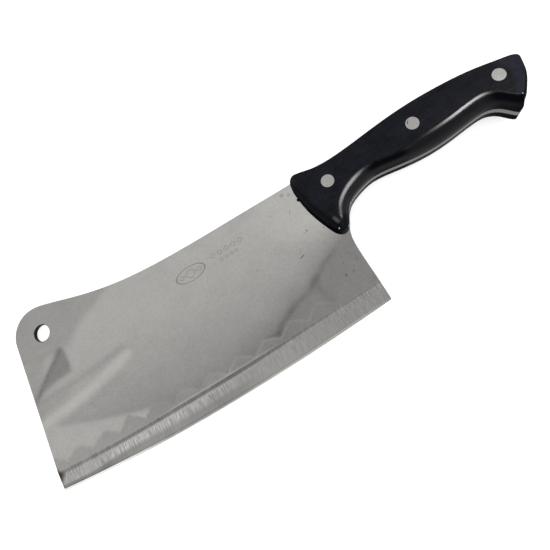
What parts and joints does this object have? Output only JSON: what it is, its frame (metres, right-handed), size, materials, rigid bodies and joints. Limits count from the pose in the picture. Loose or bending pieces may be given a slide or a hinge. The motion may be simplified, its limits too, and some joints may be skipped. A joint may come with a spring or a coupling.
{
  "type": "meat cleaver",
  "caption": "Meat cleaver with a broad ground blade, a hanging hole in its top corner and a full tang between two riveted black handle scales.",
  "frame": {"origin": "centre of the hanging hole, halfway through the blade's thickness", "axes": "the cleaver lies flat: +X along the blade from the hanging hole towards the butt of the handle, +Y towards the spine, +Z out of the blade's left face"},
  "size_m": [0.3181, 0.1046, 0.0172],
  "materials": {
    "blade_steel": "ground and semi-polished stainless sheet, coarse grind lines on the bevel",
    "handle_plastic": "black moulded plastic, sanded and buffed to a satin gloss",
    "rivet_metal": "sanded flush, satin",
    "bonding_resin": "cured black resin"
  },
  "bodies": {
    "root": {"blade": "blade_steel", "left_scale": "handle_plastic", "right_scale": "handle_plastic", "resin_bead": "bonding_resin", "front_rivet_post": "rivet_metal", "front_rivet_tube": "rivet_metal", "middle_rivet_post": "rivet_metal", "middle_rivet_tube": "rivet_metal", "rear_rivet_post": "rivet_metal", "rear_rivet_tube": "rivet_metal"}
  },
  "joints": []
}
